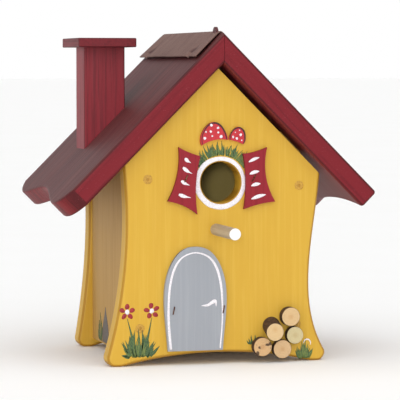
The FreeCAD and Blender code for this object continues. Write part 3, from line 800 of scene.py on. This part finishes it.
@dataclass
class Fittings:
    """The perch, shutters, door, toadstools and wood pile, with the staples that hold them."""

    ply_red: BrushedPaint = BrushedPaint(
        "red_shutter_paint", "8E1826", "701018", "5C1018", cloud="A02A38", grain_apart=1.8, gloss=0.3
    )
    ply_grey: BrushedPaint = BrushedPaint(
        "grey_door_paint", "969AA1", "A2A5AC", "70737C", cloud="8D9098", relief=0.08
    )
    toadstool: BrushedPaint = BrushedPaint(
        "bright_red_toadstool_paint", "C02430", "961824", "5C1018",
        cloud="A01C28", grain_apart=2.2, grain_length=12.0,
    )
    dowel: PaintedDowel = PaintedDowel(
        "worn_white_dowel_paint", "B9AA92", "988770", "A89880",
        (Facing.BACK.value, Facing.UP.value, Facing.ACROSS.value),
        1.4, 24.0, 0.6, "A99880",
    )
    rust: DrawnSteel = DrawnSteel("rusting_staple_wire", "7A5A44", "5A2F1C", 0.48)
    cuts: tuple[tuple[str, str, str, bool], ...] = (
        ("D8B888", "B08A58", "C08E54", False),
        ("DABC8C", "B48E5C", "C4965C", False),
        ("CDBE92", "A6966A", "B59A68", False),
        ("D4AE7E", "AA7E4C", "B07C48", True),
        ("D4B286", "AA8252", "B88850", False),
    )

    def build(self) -> None:
        """Dress every fitting."""
        red, rust = self.ply_red.build(), self.rust.build()
        for side in ("left", "right"):
            dress("shutter_" + side, red)
        dress("shutter_staples", rust)
        dress("door", self.ply_grey.build())
        dress("door_staples", rust)
        dress("toadstool_big", self.toadstool.build())
        dress("toadstool_small", self.toadstool.build())
        dress("perch", self.dowel.build())
        for number, (cut, ring, core, knots) in enumerate(self.cuts, start=1):
            name = "log_" + str(number)
            low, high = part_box(name)
            heart = (low + high) / 2 / MM
            branch = SawnBranch("sawn_branch_" + str(number), (heart.x, heart.z), cut, ring, core, knots)
            dress(name, branch.build())


@dataclass
class Decoration:
    """Everything laid on with a small brush: the ring, grass, flowers, strokes and dots."""

    panel: Sheet = front_sheet(-66.5)
    plate: Sheet = front_sheet(-70.0)
    mushroom: Sheet = front_sheet(-69.0)
    side: Sheet = Sheet((-81.323, 0.0, 0.0), (0.0, -1.0, 0.0), (0.0, 0.0, 1.0), (-1.0, 0.0, 0.0))
    entrance: tuple[float, float] = (-1.723, 154.6)
    rim: float = 18.4
    ring_reach: float = 22.7
    ring_heavy: float = 0.7
    ring_heavy_way: float = 235.0
    blades_over_entrance: int = 74
    white: BrushStroke = BrushStroke("white_hobby_paint", "EFEBEF", "DAD4DA")
    dark_green: BrushStroke = BrushStroke("dark_green_hobby_paint", "36502F", "55703B")
    olive: BrushStroke = BrushStroke("olive_hobby_paint", "6B7A3A", "47602F")
    petal: BrushStroke = BrushStroke("dark_red_hobby_paint", "A01F2A", "7A1420")
    charcoal: BrushStroke = BrushStroke("charcoal_hobby_paint", "4B4440", "5E554C")
    big_dots: tuple = (
        (-10.7, 203.3, 1.35), (-4.8, 201.0, 1.15), (-15.4, 197.6, 0.8), (-11.2, 197.9, 1.15),
        (-4.6, 197.1, 1.0), (-16.4, 192.2, 1.4), (-9.9, 194.1, 0.85), (-2.1, 193.6, 1.5),
    )
    small_dots: tuple = (
        (14.1, 198.8, 0.65), (10.4, 197.1, 0.5), (15.1, 195.0, 1.3),
        (8.4, 193.2, 1.0), (11.7, 191.9, 1.15), (16.0, 190.3, 0.65),
    )

    def build(self) -> None:
        """Paint every motif."""
        self.ring()
        self.shutters()
        self.dots()
        self.outlines()
        self.door()
        self.grass()
        self.flowers()
        self.wall_motif()

    def ring(self) -> None:
        """Paint the white ring, wider at its lower left."""
        film = PaintFilm("entrance_ring", self.panel, 0.25)
        around = np.linspace(0, 2 * math.pi, 24, endpoint=False)
        chance = np.random.default_rng(5)
        heavier = self.ring_heavy * np.cos(around - math.radians(self.ring_heavy_way))
        outer = self.ring_reach + heavier + chance.normal(0, 0.22, len(around))
        middle, width = (outer + self.rim) / 2, outer - self.rim
        circle = np.stack([np.cos(around), np.sin(around)], 1)
        line = np.array(self.entrance) + middle[:, None] * circle
        film.stroke(line, np.append(width, width[0]), 120, True)
        film.make(self.white)

    def shutters(self) -> None:
        """Paint four tapered strokes on each shutter."""
        film = PaintFilm("shutter_strokes", self.plate, 0.3)
        left = (
            ((-34.0, 175.6), (-28.9, 171.7), 2.6), ((-35.8, 167.9), (-27.8, 162.5), 2.6),
            ((-37.2, 156.6), (-30.0, 152.7), 2.5), ((-39.4, 145.1), (-28.9, 142.2), 2.6),
        )
        right = (
            ((22.0, 171.9), (31.2, 175.7), 2.0), ((22.7, 161.6), (31.2, 163.9), 2.3),
            ((24.2, 151.6), (32.3, 153.3), 2.3), ((24.2, 140.3), (37.1, 144.0), 2.4),
        )
        for (x0, z0), (x1, z1), wide in left:
            middle = ((x0 + x1) / 2 - 0.3, (z0 + z1) / 2 - 0.3)
            film.stroke([(x0, z0), middle, (x1, z1)], [1.6, wide * 1.3, wide * 1.1, 1.2, 0.4])
        for (x0, z0), (x1, z1), wide in right:
            middle = ((x0 + x1) / 2, (z0 + z1) / 2 + 0.4)
            film.stroke([(x0, z0), middle, (x1, z1)], [0.8, wide * 1.2, wide * 1.4, wide * 1.1, 0.6])
        film.make(self.white)

    def dots(self) -> None:
        """Dab the white dots on the toadstools."""
        film = PaintFilm("toadstool_dots", self.mushroom, 0.25)
        for number, (x, z, radius) in enumerate(self.big_dots + self.small_dots):
            film.dab((x, z), radius, number, 0.9, 40.0 * number)
        film.make(self.white)

    def outlines(self) -> None:
        """Draw the dark outline round each toadstool, thicker at its upper right."""
        film = PaintFilm("toadstool_outlines", self.mushroom, 0.16)
        big = [
            (-18.5, 187.2), (-18.9, 191.5), (-17.8, 196.6), (-13.8, 202.6),
            (-8.1, 205.2), (-2.8, 203.0), (1.0, 197.6), (3.0, 191.2),
        ]
        small = [
            (5.9, 191.0), (6.6, 195.6), (9.4, 199.4), (13.5, 201.0),
            (17.0, 199.2), (18.7, 195.4), (18.7, 190.6), (17.6, 187.6),
        ]
        film.stroke(big, [0.6, 0.7, 0.9, 1.3, 1.6, 1.4, 0.9], 50)
        film.stroke(small, [0.6, 0.8, 1.2, 1.5, 1.3, 0.8], 50)
        film.make(BrushStroke("dark_outline_paint", "4A141A", "2E0F12"))

    def door(self) -> None:
        """Paint the door's white arch line and its handle."""
        film = PaintFilm("door_lines", self.plate, 0.25)
        middle, foot = -24.723, 12.3
        half = np.array(
            [(-21.6, 1.5), (-23.2, 20.0), (-23.6, 37.0), (-22.2, 56.0), (-18.2, 70.5), (-11.2, 79.6)]
        )
        arch = np.vstack([half, [(0.0, 83.2)], (half * [-1, 1])[::-1]]) + [middle, foot]
        film.stroke(arch, [2.2, 2.3, 2.1, 2.0, 2.1, 1.4, 1.2, 1.7, 2.3, 2.2, 1.5, 1.2, 1.4], 110)
        handle = [(-19.6, 50.4), (-14.0, 50.8), (-10.2, 53.0), (-7.3, 54.0), (-6.6, 49.6)]
        film.stroke(handle, [0.5, 2.2, 2.6, 3.6, 2.2, 0.6], 22)
        film.make(self.white)

    def tuft(
        self, film: PaintFilm, roots: np.ndarray, tips: np.ndarray, seed: int, wide: float = 1.3
    ) -> None:
        """Flick blades of grass from roots to tips.

        Args:
            film: paint that takes them.
            roots: lower ends.
            tips: upper ends, one for each root.
            seed: picks their bends.
            wide: width at the root in millimetres.
        """
        chance = np.random.default_rng(seed)
        for root, tip in zip(roots, tips):
            middle = (root + tip) / 2 + chance.normal(0, 0.06, 2) * np.linalg.norm(tip - root)
            film.stroke([root, middle, tip], [wide * 0.7, wide, wide * 0.6, 0.15], 9)

    def fan(
        self, centre: float, spread: float, base: float, heights: tuple[float, float], count: int, seed: int
    ) -> tuple:
        """Return the roots and tips of a tuft that opens upward.

        Args:
            centre: distance to the right of its middle.
            spread: half its width at the tips.
            base: height of its roots.
            heights: least and greatest length.
            count: number of blades.
            seed: picks their places.

        Returns:
            Roots and tips, one row for each blade.
        """
        chance = np.random.default_rng(seed)
        lean = np.linspace(-1, 1, count) + chance.normal(0, 0.08, count)
        roots = np.stack([centre + lean * spread * 0.55, base + chance.uniform(0, 1.5, count)], 1)
        tall = heights[1] - (heights[1] - heights[0]) * np.abs(lean) + chance.normal(0, 1.2, count)
        return roots, np.stack([centre + lean * spread, base + tall], 1)

    def grass(self) -> None:
        """Paint the grass over the entrance, by the flowers and by the wood pile."""
        dark, light = PaintFilm("dark_grass", self.panel, 0.18), PaintFilm("olive_grass", self.panel, 0.24)
        chance = np.random.default_rng(11)
        count = self.blades_over_entrance
        angles = np.radians(np.linspace(152, 30, count) + chance.normal(0, 2.0, count))
        ends = np.stack([np.cos(angles), np.sin(angles)], 1)
        roots = np.array(self.entrance) + ends * 23.0
        reach = ends * [[1.0, 0.6]] * chance.uniform(5, 9, (count, 1))
        stray = np.stack([chance.normal(0, 2.4, count), chance.uniform(1.5, 7.5, count)], 1)
        tips = roots + reach + stray
        pick = chance.uniform(0, 1, count) < np.linspace(0.1, 0.65, count)
        self.tuft(dark, roots[~pick], tips[~pick], 1, 2.0)
        self.tuft(light, roots[pick], tips[pick], 2, 1.5)
        self.tuft(dark, *self.fan(-73.5, 15.5, 7.6, (12.0, 25.0), 17, 21), 3, 3.0)
        self.tuft(dark, *self.fan(-74.0, 12.5, 7.4, (5.0, 13.0), 13, 26), 9, 3.2)
        self.tuft(light, *self.fan(-74.5, 11.0, 7.8, (10.0, 20.0), 9, 22), 4, 1.5)
        self.tuft(dark, *self.fan(27.5, 6.5, 15.0, (5.0, 10.0), 8, 23), 5, 1.6)
        self.tuft(light, *self.fan(73.0, 8.5, 2.2, (8.0, 17.0), 10, 24), 6, 1.8)
        self.tuft(dark, *self.fan(72.0, 7.5, 2.0, (7.0, 15.0), 12, 25), 7, 2.2)
        dark.make(self.dark_green)
        light.make(self.olive)

    def flowers(self) -> None:
        """Paint two flowers on their stems, and the white curl by the wood pile."""
        stems = PaintFilm("flower_stems", self.panel, 0.2)
        petals = PaintFilm("flower_petals", self.panel, 0.26)
        hearts = PaintFilm("flower_hearts_and_curl", self.panel, 0.34)
        for number, (x, z, root) in enumerate(((-83.4, 46.4, -77.0), (-62.1, 46.8, -69.5))):
            stems.stroke([(root, 9.0), ((root + x) / 2 + 0.6, 26.0), (x, z - 5.5)], [3.4, 2.4, 1.3, 0.4], 16)
            for petal in range(5):
                angle = math.radians(90 + 72 * petal + 8 * number)
                at = (x + 4.5 * math.cos(angle), z + 4.5 * math.sin(angle))
                petals.dab(at, 2.5, petal + 7 * number, 0.78, math.degrees(angle))
            hearts.dab((x, z), 2.1, 50 + number)
        curl = [(71.9, 15.2), (73.6, 18.2), (76.6, 18.4), (78.4, 16.2), (78.2, 13.8)]
        hearts.stroke(curl, [0.4, 1.0, 1.2, 1.0, 0.4], 18)
        stems.make(self.dark_green)
        petals.make(self.petal)
        hearts.make(self.white)

    def wall_motif(self) -> None:
        """Paint the pointed dark shape on the left wall, with a few blades behind it."""
        shape = PaintFilm("wall_shape", self.side, 0.2)
        spine = [(-26.0, 9.5), (-26.0, 20.0), (-26.0, 31.0), (-26.0, 41.0)]
        shape.stroke(spine, [26.0, 27.0, 20.0, 9.0, 0.6], 30)
        shape.make(self.charcoal)
        blades = PaintFilm("wall_grass", self.side, 0.28)
        roots, tips = self.fan(-46.0, 9.0, 9.5, (10.0, 26.0), 10, 31)
        self.tuft(blades, roots, tips, 8, 1.8)
        blades.make(self.dark_green)


@dataclass
class Studio:
    """The pale floor, the soft lights and the camera."""

    eye: Triple = (-0.52441, -1.94914, 0.25256)
    pitch: float = -3.306
    yaw: float = 15.0
    lens: float = 207.58
    floor: float = 90.0

    def build(self) -> None:
        """Set up the studio."""
        self.ground()
        self.lamp("key_panel", (-0.61, -2.04, 0.32), 0.16, 6.5)
        self.sky()
        world = self.room()
        scene = bpy.context.scene
        scene.world = world
        scene.view_settings.view_transform = "Standard"
        self.camera()

    def sky(self) -> None:
        """Hang a very soft light overhead, a little to the front and the left."""
        data = bpy.data.lights.new("overhead", "SUN")
        data.energy, data.angle = 2.2, math.radians(110)
        lamp = bpy.data.objects.new("overhead", data)
        lamp.rotation_euler = (math.radians(24), math.radians(-12), 0.0)
        bpy.context.scene.collection.objects.link(lamp)

    def room(self) -> bpy.types.World:
        """Return a room with white walls and a dimmer ceiling."""
        world = bpy.data.worlds.new("pale_room")
        world.use_nodes = True
        tree = world.node_tree
        back = tree.nodes["Background"]
        back.inputs["Color"].default_value = (1.0, 1.0, 1.0, 1.0)
        way = add_node(tree, "TexCoord")
        height = add_node(tree, "SeparateXYZ", way).node.outputs["Z"]
        strength = add_node(tree, "MapRange", height, 0.16, 0.42, 1.0, 0.32, **SOFT)
        tree.links.new(strength, back.inputs["Strength"])
        return world

    def ground(self) -> None:
        """Lay the floor."""
        reach = self.floor / 2
        corners = [(-reach, -reach, 0), (reach, -reach, 0), (reach, reach, 0), (-reach, reach, 0)]
        mesh = bpy.data.meshes.new("floor")
        mesh.from_pydata(corners, [], [(0, 1, 2, 3)])
        mesh.materials.append(PaleGround().build())
        floor = bpy.data.objects.new("floor", mesh)
        bpy.context.scene.collection.objects.link(floor)

    def lamp(self, title: str, place: Triple, size: float, power: float) -> None:
        """Hang a soft square light that looks at the object.

        Args:
            title: its name.
            place: where it hangs, in metres.
            size: its side in metres.
            power: its power in watts.
        """
        data = bpy.data.lights.new(title, "AREA")
        data.energy, data.size = power, size
        lamp = bpy.data.objects.new(title, data)
        lamp.location = place
        lamp.rotation_euler = (Vector((0, 0, 0.14)) - Vector(place)).to_track_quat("-Z", "Y").to_euler()
        bpy.context.scene.collection.objects.link(lamp)

    def camera(self) -> None:
        """Set up the camera."""
        data = bpy.data.cameras.new("camera")
        data.lens, data.sensor_width = self.lens, 36.0
        data.clip_end = 50.0
        camera = bpy.data.objects.new("camera", data)
        camera.location = self.eye
        camera.rotation_euler = (math.radians(90 + self.pitch), 0.0, math.radians(-self.yaw))
        bpy.context.scene.collection.objects.link(camera)
        bpy.context.scene.camera = camera


def main() -> None:
    """Build the looks of the whole birdhouse."""
    logging.basicConfig(level=logging.INFO, format="%(name)s: %(message)s")
    Boards().build()
    Roof().build()
    Fittings().build()
    Decoration().build()
    Studio().build()


if __name__ == "__main__":
    main()
